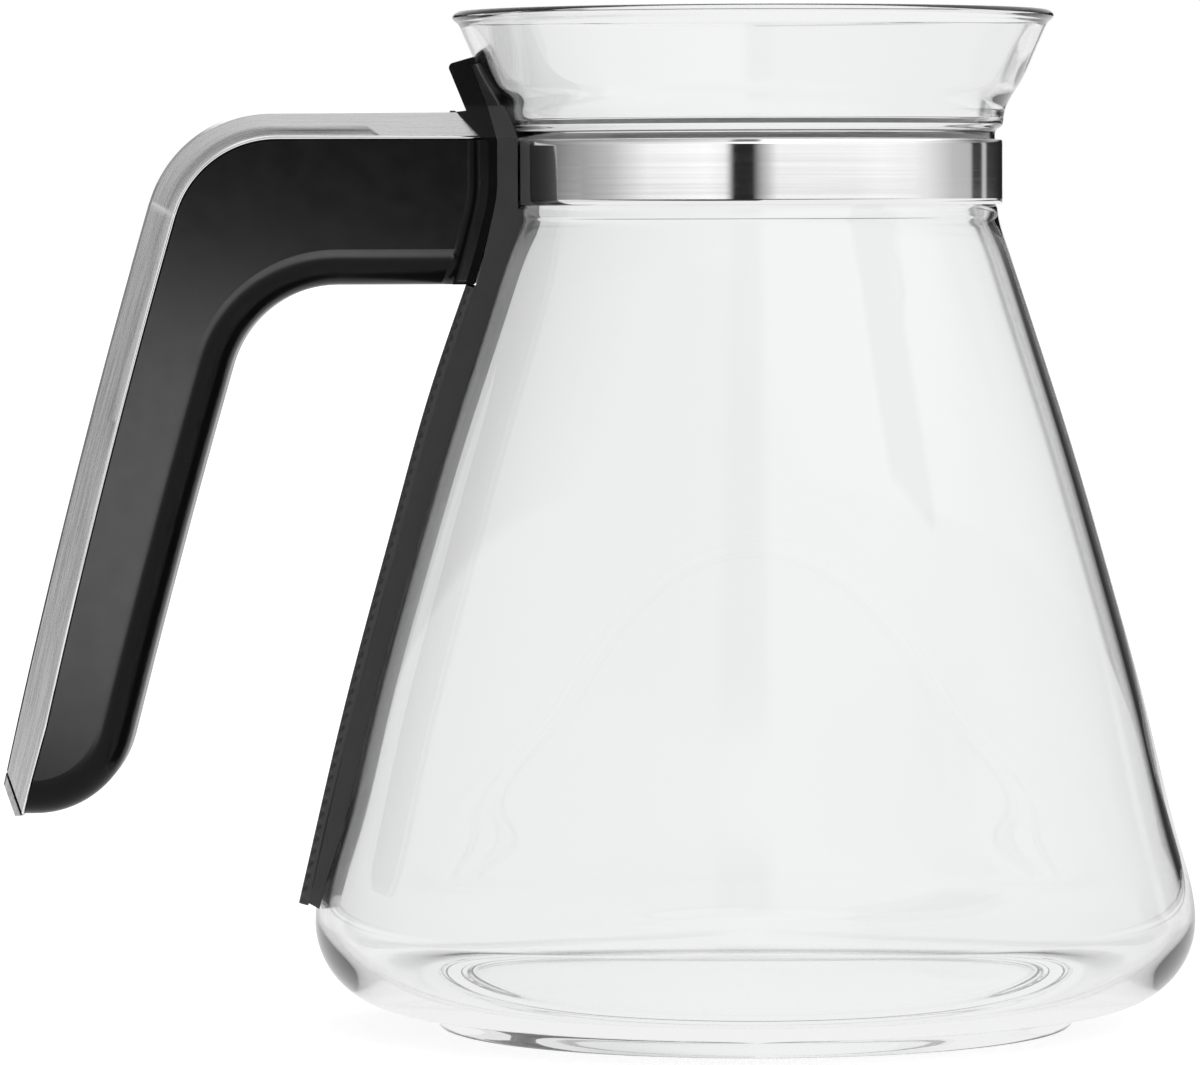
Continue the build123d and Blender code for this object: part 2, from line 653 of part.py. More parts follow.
# ---- the grip -----------------------------------------------------------------------------------
GRIP_CORNER_R = 17.6
FLANGE_HALF = 14.5
FLANGE_THICK = 2.2
FLANGE_BLEND_R = 1.5
FLANGE_EDGE_R = 0.7
FINGER_EDGE_R = 6.0
GRIP_CORNER = (back_x(GRIP_TOP, TRIM_DEEP_BACK), GRIP_TOP)
GRIP_HEEL = (back_x(GRIP_FOOT_Z, TRIM_DEEP_FOOT), GRIP_FOOT_Z)
GRIP_TIP = (inner_x(GRIP_FOOT_Z), GRIP_FOOT_Z)
FINGER_CORNER = (inner_x(ROOT_LOW), ROOT_LOW)
HOLLOW_LOW = GRIP_FOOT_Z + GRIP_WALL
HOLLOW_HIGH = ROOT_LOW + GRIP_WALL
HOLLOW_X = (-120.0, -40.0)      # the hollow runs out beyond the grip's back and its root

with BuildPart() as grip_shell:
    with BuildSketch(Plane.XZ.offset(-GRIP_HALF)) as side_view:
        with BuildLine():
            cover_line(-FIT)
            Polyline((COVER_X - FIT, NECK_LOW_Z), (COVER_X - FIT, GRIP_TOP), GRIP_CORNER)
            leg_arc(back_x, TRIM_DEEP_BACK, GRIP_TOP, TRIM_TAPER_Z)
            Polyline((back_x(TRIM_TAPER_Z, TRIM_DEEP_BACK), TRIM_TAPER_Z), GRIP_HEEL, GRIP_TIP)
            leg_arc(inner_x, 0, GRIP_FOOT_Z, ROOT_LOW)
            Polyline(FINGER_CORNER, (ROOT_X - FIT, ROOT_LOW), (ROOT_X - FIT, ROOT_LOW + FIT))
        make_face()
        round_corner(side_view, *GRIP_CORNER, GRIP_CORNER_R)
        round_corner(side_view, *GRIP_TIP, TIP_R)
        round_corner(side_view, *FINGER_CORNER, FINGER_CORNER_R)
    extrude(amount=2 * GRIP_HALF)
    rims = grip_shell.edges().filter_by(lambda e: e.length > FLANGE_THICK).filter_by(Plane.XZ)
    fillet(rims.filter_by(faces_fingers), FINGER_EDGE_R)
    with BuildSketch(Plane.XZ.offset(-FLANGE_HALF)):
        with BuildLine():
            cover_line(-FIT)
            Polyline(
                (COVER_X - FIT, NECK_LOW_Z),
                (COVER_X - FIT, GRIP_TOP),
                (COVER_X - FLANGE_THICK, GRIP_TOP),
                (COVER_X - FLANGE_THICK, NECK_LOW_Z),
            )
            cover_line(-FLANGE_THICK)
            Line((ROOT_X - FIT, ROOT_LOW + FIT), (ROOT_X - FLANGE_THICK, ROOT_LOW + FIT))
        make_face()
    extrude(amount=2 * FLANGE_HALF)
    with BuildSketch(Plane.XZ.offset(-CAVITY_HALF)) as hollow:
        with BuildLine():
            leg_arc(inner_x, GRIP_WALL, HOLLOW_LOW, HOLLOW_HIGH)
            Polyline(
                (inner_x(HOLLOW_HIGH, GRIP_WALL), HOLLOW_HIGH),
                (HOLLOW_X[1], HOLLOW_HIGH),
                (HOLLOW_X[1], TRIM_TOP),
                (HOLLOW_X[0], TRIM_TOP),
                (back_x(HOLLOW_LOW, 0), HOLLOW_LOW),
                (inner_x(HOLLOW_LOW, GRIP_WALL), HOLLOW_LOW),
            )
        make_face()
        round_corner(hollow, inner_x(HOLLOW_LOW, GRIP_WALL), HOLLOW_LOW, TIP_R - GRIP_WALL)
        round_corner(hollow, inner_x(HOLLOW_HIGH, GRIP_WALL), HOLLOW_HIGH, FINGER_CORNER_R + GRIP_WALL)
    extrude(amount=2 * CAVITY_HALF, mode=Mode.SUBTRACT)
    fillet(grip_shell.edges().filter_by(in_flange_corner), FLANGE_BLEND_R)
    fillet(grip_shell.edges().filter_by(on_flange_rim), FLANGE_EDGE_R)
grip_shell.part.label = "grip_shell"
export_step(grip_shell.part, "parts/grip_shell.step")

# The core: a root plate against the cover's boss, and a bar through the arm and down the leg.
CORE_HALF = 3.1
CORE_Z = (130.8, 140.6)     # the bar where it runs through the arm
CORE_END_Z = 52.0
CORE_IN = GRIP_WALL + 0.4       # the bar's finger side lies this deep in the leg
CORE_OUT = CORE_IN + 7.7
CORE_BEND_R = (22.4, 16.0)      # the bar's bend under the arm: inside of the hand, outside
CORE_HOLE_SPARE = 5.0
CORE_HEAD_R = 2.3
CORE_HEAD_H = 2.0

with BuildPart() as grip_core:
    with BuildSketch(Plane.YZ.offset(CORE_PLATE_X[0])):
        with Locations((0, (ROOT_BLOCK_Z[0] + ROOT_BLOCK_Z[1]) / 2)):
            Rectangle(2 * ROOT_BLOCK_HALF, ROOT_BLOCK_Z[1] - ROOT_BLOCK_Z[0])
    extrude(amount=CORE_PLATE_X[1] - CORE_PLATE_X[0])
    with BuildSketch(Plane.XZ.offset(-CORE_HALF)) as side_view:
        with BuildLine():
            Polyline(
                (inner_x(CORE_Z[0], CORE_IN), CORE_Z[0]),
                (CORE_PLATE_X[0], CORE_Z[0]),
                (CORE_PLATE_X[0], CORE_Z[1]),
                (inner_x(CORE_Z[1], CORE_OUT), CORE_Z[1]),
            )
            leg_arc(inner_x, CORE_OUT, CORE_Z[1], CORE_END_Z)
            Line((inner_x(CORE_END_Z, CORE_OUT), CORE_END_Z), (inner_x(CORE_END_Z, CORE_IN), CORE_END_Z))
            leg_arc(inner_x, CORE_IN, CORE_END_Z, CORE_Z[0])
        make_face()
        round_corner(side_view, inner_x(CORE_Z[0], CORE_IN), CORE_Z[0], CORE_BEND_R[0])
        round_corner(side_view, inner_x(CORE_Z[1], CORE_OUT), CORE_Z[1], CORE_BEND_R[1])
    extrude(amount=2 * CORE_HALF)
    with BuildSketch(Plane.YZ.offset(CORE_PLATE_X[0])):
        with Locations((0, SCREW_Z)):
            Circle(CLAMP_R + CLAMP_FREE)
        with Locations((CORE_SCREW_Y, CORE_SCREW_Z), (-CORE_SCREW_Y, CORE_SCREW_Z)):
            Circle(SMALL_R + FIT)
    extrude(amount=CORE_PLATE_X[1] - CORE_PLATE_X[0], mode=Mode.SUBTRACT)
    for place, length in carrier_screw_places():
        add(bore(place, SMALL_R + FIT, length + CORE_HOLE_SPARE), mode=Mode.SUBTRACT)
grip_core.part.label = "grip_core"
export_step(grip_core.part, "parts/grip_core.step")

CORE_HEAD_X = CORE_PLATE_X[0] - FIT - CORE_HEAD_H
core_screw_solids = [
    screw(
        Plane(origin=(CORE_HEAD_X, side * CORE_SCREW_Y, CORE_SCREW_Z), z_dir=(1, 0, 0)),
        CORE_HEAD_R,
        CORE_HEAD_H,
        SMALL_R,
        CORE_SCREW_TIP_X - CORE_PLATE_X[0],
    )
    for side in (1, -1)
]
with BuildPart() as core_screws:
    add(core_screw_solids)
core_screws.part.label = "core_screws"
export_step(core_screws.part, "parts/core_screws.step")

# ---- the trim along the grip's top and back -----------------------------------------------------
CAP_THICK = 0.9
CAP_GAP = 0.35          # dark gap between the metal strip and its end cap
CARRIER_HEAD_R = 2.8
CARRIER_HEAD_H = 1.6
CARRIER_LIP = 1.0       # the carrier's tongue reaches this far into the grip
CARRIER_BACK = 0.2      # the carrier ends this far short of the trim's upper end
TONGUE_END = 6.0        # the tongue ends this far above the cap
TRIM_EDGE = 0.7
TRIM_CORNER_SHARE = 0.45        # the rounded corner lies within this share of its radius
SHEET_REACH = 3.0       # the channel's hollow runs out beyond the trim's upper end
HEAD_ROOM = 2.0         # the carrier's screw holes start this far above the heads


def trim_block(half, depth, inside, reach=0):
    """A solid of the trim's outline: half its width, depth below the metal's outside, inside beyond the
    grip's edge, and reach longer at its upper end."""
    outer_z = TRIM_TOP - depth
    inner_z = GRIP_TOP + FIT - inside
    inner_depth = TRIM_DEEP_BACK - FIT + inside
    foot_depth = TRIM_DEEP_FOOT - FIT + inside
    with BuildPart() as block:
        with BuildSketch(Plane.XZ.offset(-half)) as view:
            with BuildLine():
                leg_arc(back_x, inner_depth, inner_z, TRIM_TAPER_Z)
                Polyline(
                    (back_x(TRIM_TAPER_Z, inner_depth), TRIM_TAPER_Z),
                    (back_x(GRIP_FOOT_Z, foot_depth), GRIP_FOOT_Z),
                    (back_x(GRIP_FOOT_Z, depth), GRIP_FOOT_Z),
                )
                leg_arc(back_x, depth, GRIP_FOOT_Z, outer_z)
                Polyline(
                    (back_x(outer_z, depth), outer_z),
                    (TRIM_START_X[0] + depth + reach, outer_z),
                    (TRIM_START_X[1] + reach, inner_z),
                    (back_x(inner_z, inner_depth), inner_z),
                )
            make_face()
            round_corner(view, back_x(outer_z, depth), outer_z, TRIM_CORNER_R - depth)
            round_corner(view, back_x(inner_z, inner_depth), inner_z, GRIP_CORNER_R - inside)
        extrude(amount=2 * half)
    return block.part


def trim_end(shift):
    """The slanted plane that cuts the trim's lower end, moved up the leg by shift. It faces up the leg."""
    outer = Vector(back_x(TRIM_END_Z, 0), 0, TRIM_END_Z)
    slant = Vector(cos(radians(TRIM_END_SLANT)), 0, -sin(radians(TRIM_END_SLANT)))
    upward = Vector(sin(radians(TRIM_END_SLANT)), 0, cos(radians(TRIM_END_SLANT)))
    return Plane(origin=outer + upward * shift, x_dir=slant, z_dir=upward)


with BuildPart() as back_trim:
    add(trim_block(TRIM_HALF, 0, 0))
    rims = back_trim.edges().filter_by(Plane.XZ)
    fillet(rims.filter_by(on_trim_back), TRIM_EDGE)
    add(trim_block(TRIM_HALF - TRIM_SHEET, TRIM_SHEET, TRIM_SHEET, SHEET_REACH), mode=Mode.SUBTRACT)
    split(bisect_by=trim_end(CAP_THICK + CAP_GAP), keep=Keep.TOP)
back_trim.part.label = "back_trim"
export_step(back_trim.part, "parts/back_trim.step")

with BuildPart() as trim_carrier:
    add(trim_block(TRIM_HALF - TRIM_SHEET - FIT, TRIM_SHEET + FIT, 0, -CARRIER_BACK))
    split(bisect_by=trim_end(CAP_THICK + FIT), keep=Keep.TOP)
    lip = trim_block(CAVITY_HALF - 3 * FIT, TRIM_SHEET + FIT, CARRIER_LIP, -CARRIER_BACK)
    add(lip.split(trim_end(CAP_THICK + TONGUE_END), keep=Keep.TOP))
    for place, length in carrier_screw_places():
        head_room = bore(place.offset(-HEAD_ROOM), CARRIER_HEAD_R + FIT, HEAD_ROOM + CARRIER_HEAD_H + FIT)
        add(head_room, mode=Mode.SUBTRACT)
        add(bore(place, SMALL_R + FIT, length), mode=Mode.SUBTRACT)
trim_carrier.part.label = "trim_carrier"
export_step(trim_carrier.part, "parts/trim_carrier.step")

carrier_screw_solids = [
    screw(place, CARRIER_HEAD_R, CARRIER_HEAD_H, SMALL_R, length)
    for place, length in carrier_screw_places()
]
with BuildPart() as carrier_screws:
    add(carrier_screw_solids)
carrier_screws.part.label = "carrier_screws"
export_step(carrier_screws.part, "parts/carrier_screws.step")

with BuildPart() as trim_end_cap:
    add(trim_block(TRIM_HALF, 0, 0))
    rims = trim_end_cap.edges().filter_by(Plane.XZ)
    fillet(rims.filter_by(on_trim_back), TRIM_EDGE)
    split(bisect_by=trim_end(CAP_THICK), keep=Keep.BOTTOM)
    split(bisect_by=trim_end(0), keep=Keep.TOP)
trim_end_cap.part.label = "trim_end_cap"
export_step(trim_end_cap.part, "parts/trim_end_cap.step")
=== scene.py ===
from math import cos, pi, radians, sin, sqrt, tan

import bpy
import numpy as np
from mathutils import Matrix, Vector


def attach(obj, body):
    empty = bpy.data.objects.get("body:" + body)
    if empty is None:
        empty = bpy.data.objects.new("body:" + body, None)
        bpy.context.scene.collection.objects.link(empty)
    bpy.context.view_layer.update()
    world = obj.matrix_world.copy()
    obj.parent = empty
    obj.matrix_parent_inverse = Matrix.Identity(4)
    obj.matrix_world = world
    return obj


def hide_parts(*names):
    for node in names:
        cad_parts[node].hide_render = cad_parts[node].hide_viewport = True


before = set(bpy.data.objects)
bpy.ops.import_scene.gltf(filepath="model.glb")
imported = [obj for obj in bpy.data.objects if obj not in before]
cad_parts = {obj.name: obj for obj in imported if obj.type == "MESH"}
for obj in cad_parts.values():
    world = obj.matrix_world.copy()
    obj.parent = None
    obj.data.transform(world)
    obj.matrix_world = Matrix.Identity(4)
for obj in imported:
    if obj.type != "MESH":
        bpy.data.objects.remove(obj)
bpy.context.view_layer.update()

# A glass coffee carafe with an open side handle. The frame is the CAD model's: metres, +Z up, the
# origin on the vessel's axis in the plane it stands on, the handle towards -X. Outlines below are
# written in millimetres, as (radius, height) or (x, z), and become metres when a mesh is made.

MM = 0.001


# ---- outlines -----------------------------------------------------------------------------------
def spline(points, start, end, step=1.0):
    """Points about step apart on the smooth curve through points, with the given end directions."""
    places = np.array(points, float)
    gaps = np.linalg.norm(np.diff(places, axis=0), axis=1)
    count = len(places)
    system = np.eye(count)
    wanted = np.zeros_like(places)
    wanted[0] = np.array(start) / np.linalg.norm(start)
    wanted[-1] = np.array(end) / np.linalg.norm(end)
    for i in range(1, count - 1):
        before, after = gaps[i - 1], gaps[i]
        system[i, i - 1:i + 2] = after, 2 * (before + after), before
        slope_in = (places[i] - places[i - 1]) / before
        slope_out = (places[i + 1] - places[i]) / after
        wanted[i] = 3 * (after * slope_in + before * slope_out)
    speeds = np.linalg.solve(system, wanted)
    out = []
    for i, gap in enumerate(gaps):
        for t in np.arange(0, 1, 1 / max(1, round(gap / step))):
            a = (1 + 2 * t) * (1 - t) ** 2 * places[i]
            b = t * (1 - t) ** 2 * gap * speeds[i]
            c = t * t * (3 - 2 * t) * places[i + 1]
            d = t * t * (t - 1) * gap * speeds[i + 1]
            out.append(tuple(a + b + c + d))
    out.append(tuple(places[-1]))
    return out


def rounded_corner(before, corner, after, radius, steps=16):
    """Points of the arc that rounds a corner between two straight lines."""
    before, corner, after = (np.array(p, float) for p in (before, corner, after))
    towards = (before - corner) / np.linalg.norm(before - corner)
    away = (after - corner) / np.linalg.norm(after - corner)
    half = np.arccos(np.clip(towards @ away, -1, 1)) / 2
    middle = (towards + away) / np.linalg.norm(towards + away)
    centre = corner + middle * radius / sin(half)
    first = corner + towards * radius / tan(half) - centre
    last = corner + away * radius / tan(half) - centre
    turn = np.arctan2(first[0] * last[1] - first[1] * last[0], first @ last)
    out = []
    for share in np.linspace(0, 1, steps + 1):
        c, s = cos(turn * share), sin(turn * share)
        out.append(tuple(centre + (first[0] * c - first[1] * s, first[0] * s + first[1] * c)))
    return out


def even_points(points, count):
    """The same line with count points, spaced evenly along it."""
    places = np.array(points, float)
    along = np.concatenate([[0], np.cumsum(np.linalg.norm(np.diff(places, axis=0), axis=1))])
    wanted = np.linspace(0, along[-1], count)
    return np.stack([np.interp(wanted, along, places[:, k]) for k in range(places.shape[1])], 1)


# ---- meshes -------------------------------------------------------------------------------------
def make_object(name, places, faces, sharp=30):
    """A mesh object from places in millimetres and faces as lists of their numbers, smooth-shaded up
    to the angle sharp in degrees."""
    mesh = bpy.data.meshes.new(name)
    mesh.from_pydata((np.array(places, float) * MM).tolist(), [], faces)
    mesh.update()
    mesh.polygons.foreach_set("use_smooth", [True] * len(mesh.polygons))
    mesh.set_sharp_from_angle(angle=radians(sharp))
    piece = bpy.data.objects.new(name, mesh)
    bpy.context.scene.collection.objects.link(piece)
    return piece


def lathe(name, profile, steps):
    """A vessel turned about the Z axis from a profile that starts and ends on the axis."""
    places = [(0, 0, profile[0][1])]
    for radius, height in profile[1:-1]:
        for k in range(steps):
            turn = 2 * pi * k / steps
            places.append((radius * cos(turn), radius * sin(turn), height))
    places.append((0, 0, profile[-1][1]))
    last = len(places) - 1
    rings = len(profile) - 2
    faces = []
    for k in range(steps):
        n = (k + 1) % steps
        faces.append([0, 1 + n, 1 + k])
        for i in range(rings - 1):
            low, high = 1 + i * steps, 1 + (i + 1) * steps
            faces.append([low + k, low + n, high + n, high + k])
        faces.append([last, last - steps + k, last - steps + n])
    return make_object(name, places, faces, sharp=60)


def tube_of_rings(name, rings, sharp=30, shades=None):
    """A closed piece skinned over rings, which are closed loops with the same number of points. It
    carries a map with the length along the piece and the width round it, in metres. shades gives
    the material number of each strip between two neighbouring points of a ring."""
    rings = np.array(rings, float)
    count, size = rings.shape[:2]
    faces = []
    numbers = []
    for i in range(count - 1):
        for j in range(size):
            n = (j + 1) % size
            faces.append([i * size + j, i * size + n, (i + 1) * size + n, (i + 1) * size + j])
            numbers.append(shades[j] if shades else 0)
    faces.append(list(range(size - 1, -1, -1)))
    faces.append(list(range((count - 1) * size, count * size)))
    piece = make_object(name, rings.reshape(-1, 3), faces, sharp)
    mesh = piece.data
    mesh.polygons.foreach_set("material_index", numbers + [0, 0])
    middle = rings.mean(axis=1)
    along = np.concatenate([[0], np.cumsum(np.linalg.norm(np.diff(middle, axis=0), axis=1))]) * MM
    one = rings[count // 2]
    steps = np.linalg.norm(np.roll(one, -1, axis=0) - one, axis=1)
    around = np.concatenate([[0], np.cumsum(steps)]) * MM
    layer = mesh.uv_layers.new(name="grain")
    values = []
    for i in range(count - 1):
        for j in range(size):
            low, high = around[j], around[j + 1]
            values += [along[i], low, along[i], high, along[i + 1], high, along[i + 1], low]
    values += [0.0] * (4 * size)
    layer.data.foreach_set("uv", values)
    return piece


# ---- materials ----------------------------------------------------------------------------------
class Paint:
    """A new node material with one Principled shader, and short ways to add detail to it."""

    def __init__(self, name, **settings):
        self.material = bpy.data.materials.new(name)
        self.material.use_nodes = True
        self.nodes = self.material.node_tree.nodes
        self.links = self.material.node_tree.links
        self.shader = self.nodes["Principled BSDF"]
        self.place = self.nodes.new("ShaderNodeTexCoord")
        for socket, value in settings.items():
            self.shader.inputs[socket.replace("_", " ")].default_value = value

    def noise(self, scale, detail=3.0, roughness=0.5, stretch=None, along="Object"):
        """A noise texture, scale per metre, stretched by three factors, in object space or on the
        piece's own map (along="UV")."""
        node = self.nodes.new("ShaderNodeTexNoise")
        node.inputs["Scale"].default_value = scale
        node.inputs["Detail"].default_value = detail
        node.inputs["Roughness"].default_value = roughness
        source = self.place.outputs[along]
        if stretch:
            mapping = self.nodes.new("ShaderNodeMapping")
            mapping.inputs["Scale"].default_value = stretch
            self.links.new(source, mapping.inputs["Vector"])
            source = mapping.outputs["Vector"]
        self.links.new(source, node.inputs["Vector"])
        return node.outputs["Fac"]

    def spread(self, source, low, high, start=0.3, end=0.7):
        """Maps source from start..end to low..high."""
        node = self.nodes.new("ShaderNodeMapRange")
        node.inputs["From Min"].default_value = start
        node.inputs["From Max"].default_value = end
        node.inputs["To Min"].default_value = low
        node.inputs["To Max"].default_value = high
        self.links.new(source, node.inputs["Value"])
        return node.outputs["Result"]

    def drive(self, socket, source):
        self.links.new(source, self.shader.inputs[socket])

    def tint(self, source, dark, light):
        """Colours the surface between dark and light by source."""
        node = self.nodes.new("ShaderNodeMix")
        node.data_type = "RGBA"
        colours = [s for s in node.inputs if s.type == "RGBA"]
        colours[0].default_value = (*dark, 1)
        colours[1].default_value = (*light, 1)
        self.links.new(source, node.inputs["Factor"])
        mixed = [s for s in node.outputs if s.type == "RGBA"][0]
        self.links.new(mixed, self.shader.inputs["Base Color"])

    def bump(self, source, distance, strength=1.0):
        """Adds a bump of distance metres."""
        node = self.nodes.new("ShaderNodeBump")
        node.inputs["Strength"].default_value = strength
        node.inputs["Distance"].default_value = distance
        self.links.new(source, node.inputs["Height"])
        self.links.new(node.outputs["Normal"], self.shader.inputs["Normal"])


def grey(level):
    return (level, level, level)


def clear_glass():
    paint = Paint("clear_glass", Transmission_Weight=1.0, IOR=1.47)
    paint.shader.inputs["Base Color"].default_value = (0.985, 0.988, 0.988, 1)
    paint.drive("Roughness", paint.spread(paint.noise(60, 2), 0.0, 0.01, 0.45, 0.75))
    paint.bump(paint.noise(14, 1, stretch=(1, 1, 0.3)), 0.0002, 0.3)
    return paint.material


def polished_steel(name, along):
    paint = Paint(name, Metallic=1.0)
    paint.tint(paint.noise(60, 3), grey(0.93), grey(0.97))
    grain = paint.noise(30, 3, stretch=along, along="UV")
    paint.drive("Roughness", paint.spread(grain, 0.05, 0.09))
    paint.bump(grain, 0.000001, 0.3)
    return paint.material


def satin_steel():
    paint = Paint("satin_steel", Metallic=1.0)
    grain = paint.noise(60, 4, 0.6, stretch=(1.0, 60.0, 1.0), along="UV")
    paint.tint(grain, grey(0.75), grey(0.83))
    paint.drive("Roughness", paint.spread(grain, 0.22, 0.32))
    paint.bump(grain, 0.00001, 0.35)
    return paint.material


def satin_cap():
    paint = Paint("satin_cap", Metallic=1.0)
    grain = paint.noise(900, 3, stretch=(1.0, 0.1, 1.0))
    paint.tint(grain, grey(0.58), grey(0.68))
    paint.drive("Roughness", paint.spread(grain, 0.22, 0.34))
    return paint.material


def moulded_plastic(name, dark, light, smooth, rough, gloss=0.25, grain=0.00003):
    """Injection-moulded plastic: fine spark-eroded grain, with slight wear and dust in its gloss."""
    paint = Paint(name, Specular_IOR_Level=gloss)
    paint.tint(paint.noise(120, 4), grey(dark), grey(light))
    paint.drive("Roughness", paint.spread(paint.noise(260, 4), smooth, rough))
    paint.bump(paint.noise(3200, 3, 0.6), grain, 0.3)
    return paint.material


def plated_steel():
    paint = Paint("plated_steel", Metallic=1.0)
    paint.tint(paint.noise(500, 4), (0.50, 0.50, 0.49), (0.64, 0.64, 0.62))
    paint.drive("Roughness", paint.spread(paint.noise(900, 3), 0.28, 0.45))
    paint.bump(paint.noise(1400, 2), 0.00002, 0.3)
    return paint.material


def cast_metal():
    paint = Paint("cast_metal", Metallic=1.0)
    paint.tint(paint.noise(300, 5), (0.48, 0.48, 0.49), (0.60, 0.60, 0.61))
    paint.drive("Roughness", paint.spread(paint.noise(1200, 4), 0.45, 0.62))
    paint.bump(paint.noise(1500, 4), 0.00008, 0.5)
    return paint.material


# ---- the glass vessel ---------------------------------------------------------------------------
WALL = 2.1              # measured level, at the outline's points
WIDEST = (75.18, 18.0)
FOOT_TOP = 2.6          # underside of the floor
FLOOR_TOP = 5.2
NECK_R = 41.2
INNER_NECK_R = NECK_R - WALL
INNER_WIDEST = (73.1, 18.4)
CONE = [(72.3, 31.7), (67.3, 52), (60.8, 76.2), (53.9, 100), (46.2, 124), (43.2, 133)]
FLARE = [(42.9, 156), (45.4, 160.6), (47.7, 165.4)]


def inside(points):
    """The same outline on the inside of the wall, from its top down."""
    return [(radius - WALL, height) for radius, height in reversed(points)]


def vessel_profile():
    """The vessel's section from the axis under the floor, up the outside and down the inside."""
    outline = [(radius, FOOT_TOP) for radius in (0, 12, 24, 36, 46)]
    outline += spline([(48.4, FOOT_TOP), (51.1, 0)], (1, 0), (0.6, -0.5), 0.3)
    outline += spline([(53.5, 0), (54.35, 1.1), (54.5, 3.2)], (1, 0.1), (0, 1), 0.3)
    outline += spline([(54.6, 3.25), (65.8, 4.6), (72.6, 9.9), WIDEST], (1, 0.02), (0, 1), 0.8)
    outline += spline([WIDEST, *CONE, (41.6, 139.4)], (0, 1), (-0.05, 1), 1.5)[1:]
    outline += [(41.3, 139.9), (NECK_R, 140.6), (NECK_R, 146), (NECK_R, 151.8)]
    outline += spline([(41.25, 152.2), (41.8, 152.9), (42.5, 153.5)], (0, 1), (0.6, 1), 0.2)
    outline += spline([(42.55, 153.6), *FLARE, (50, 170.6)], (0.1, 1), (0.45, 1), 0.6)
    rim = [(50.3, 171.0), (51.2, 172.0), (50.1, 172.96), (48.9, 172.6), (48.3, 171.4)]
    outline += spline(rim, (1, 0.8), (-0.4, -1), 0.15)
    ridge = [(40.5, 154.0), (39.8, 152.9), (39.15, 151.8), (INNER_NECK_R, 151)]
    outline += spline([(48.2, 171.2), *inside(FLARE), *ridge], (-0.45, -1), (0, -1), 0.6)
    outline += [(INNER_NECK_R, height) for height in (148.5, 146, 143.5)]
    outline += spline([(INNER_NECK_R, 141), *inside(CONE), INNER_WIDEST], (0, -1), (0, -1), 1.5)
    floor_edge = [INNER_WIDEST, (70.4, 11.4), (65, 7.1), (56, FLOOR_TOP)]
    outline += spline(floor_edge, (0, -1), (-1, 0), 0.8)[1:]
    outline += [(radius, FLOOR_TOP) for radius in (44, 30, 15, 0)]
    return outline


VESSEL_STEPS = 256


def glass_vessel():
    vessel = lathe("vessel", vessel_profile(), VESSEL_STEPS)
    vessel.data.materials.append(clear_glass())
    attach(vessel, "root")
    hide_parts("glass_vessel")


# ---- the neck band ------------------------------------------------------------------------------
BAND_R = (41.9, 42.5)
BAND_Z = (140.0, 151.0)
EAR_Y = 2.7             # middle of each ear's sheet
EAR_X = -54.0
EAR_Z = (141.5, 149.5)
EAR_ROOT_X = -42.6      # the band is an ear on the handle's side of this
BAND_EDGE = 0.18
BAND_STEPS = 241


def band_path():
    """The middle line of the band's sheet seen from above, from ear tip to ear tip."""
    radius = (BAND_R[0] + BAND_R[1]) / 2
    start = pi - np.arcsin(EAR_Y / radius)
    turns = np.linspace(start, -start, BAND_STEPS)
    ring = [(radius * cos(t), radius * sin(t)) for t in turns]
    ear = [(x, EAR_Y) for x in np.linspace(EAR_X, ring[0][0] - 0.6, 6)]
    return np.array(ear + ring + [(x, -y) for x, y in reversed(ear)])


def neck_band():
    path = band_path()
    ahead = np.gradient(path, axis=0)
    ahead /= np.linalg.norm(ahead, axis=1)[:, None]
    rings = []
    for place, way in zip(path, ahead):
        side = np.array([-way[1], way[0]])
        low, high = EAR_Z if place[0] < EAR_ROOT_X else BAND_Z
        half, edge = (BAND_R[1] - BAND_R[0]) / 2, BAND_EDGE
        section = [(-half, low + edge), (-half + edge, low), (half - edge, low), (half, low + edge)]
        section += [(half, z) for z in np.linspace(low + 1, high - 1, 5)]
        section += [(half, high - edge), (half - edge, high), (-half + edge, high), (-half, high - edge)]
        rings.append([(*(place + side * out), z) for out, z in section])
    band = tube_of_rings("band", rings, sharp=50)
    band.data.materials.append(polished_steel("polished_steel", (0.4, 60.0, 1.0)))
    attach(band, "root")
    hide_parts("neck_band")


# ---- the dimpled pad on the spine ---------------------------------------------------------------
PAD_TOP = 126.7
PAD_FOOT = 22.2
PAD_THICK = 1.65
PAD_EDGE = 1.2
STRIP_HALF = 15.2
STRIP_LOW = 19.8
STRIP_CORNER = 5.0
PAD_LINE = [
    (-77.5, PAD_FOOT), (-69.6, 55.6), (-60.35, 89.8), (-55.65, 106.5), (-52.25, 116.9), (-48.8, PAD_TOP),
]
DIMPLE_PITCH = 2.134
DIMPLE_R = 0.68
DIMPLE_DEEP = 0.38
DIMPLE_GRID = 9         # mesh steps across one pitch
DIMPLE_SHIFT = 1.0      # the first row's distance from the pad's foot
PLAIN_END = 0.3         # no dimple is pressed nearer to the pad's ends than this


def pad_half(z):
    """Half the pad's width at height z: its foot has rounded corners."""
    drop = max(0.0, STRIP_CORNER - (z - STRIP_LOW))
    return STRIP_HALF - STRIP_CORNER + sqrt(max(0.0, STRIP_CORNER ** 2 - drop ** 2))


